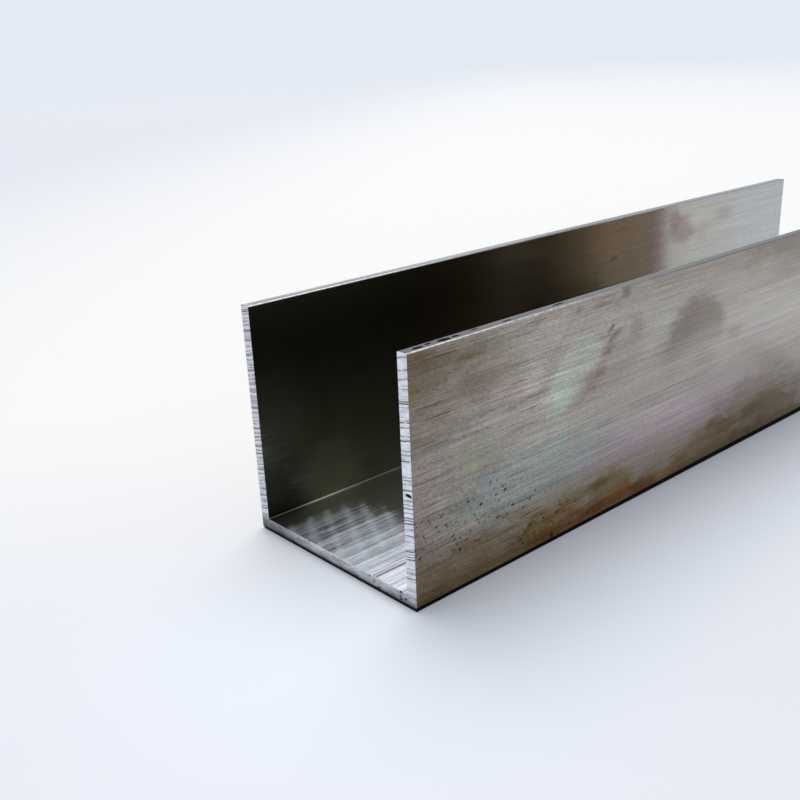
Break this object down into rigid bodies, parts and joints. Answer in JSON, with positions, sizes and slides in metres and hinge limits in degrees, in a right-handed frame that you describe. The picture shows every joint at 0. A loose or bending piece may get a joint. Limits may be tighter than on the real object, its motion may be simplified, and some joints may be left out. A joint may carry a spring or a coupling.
{
  "type": "u-channel extrusion",
  "caption": "Square-section aluminium U-channel with thin, equal walls and sawn ends, a length of raw stock for framing, edging and guiding.",
  "frame": {"origin": "on the floor, at the middle of the web's underside", "axes": "+Y along the length, +Z out of the open side of the section, X across the flanges"},
  "size_m": [0.05, 0.21, 0.05],
  "materials": {
    "mill_aluminium": "mill finish with die lines along the length, weather stains and sawn ends"
  },
  "bodies": {
    "root": {"channel": "mill_aluminium"}
  },
  "joints": []
}
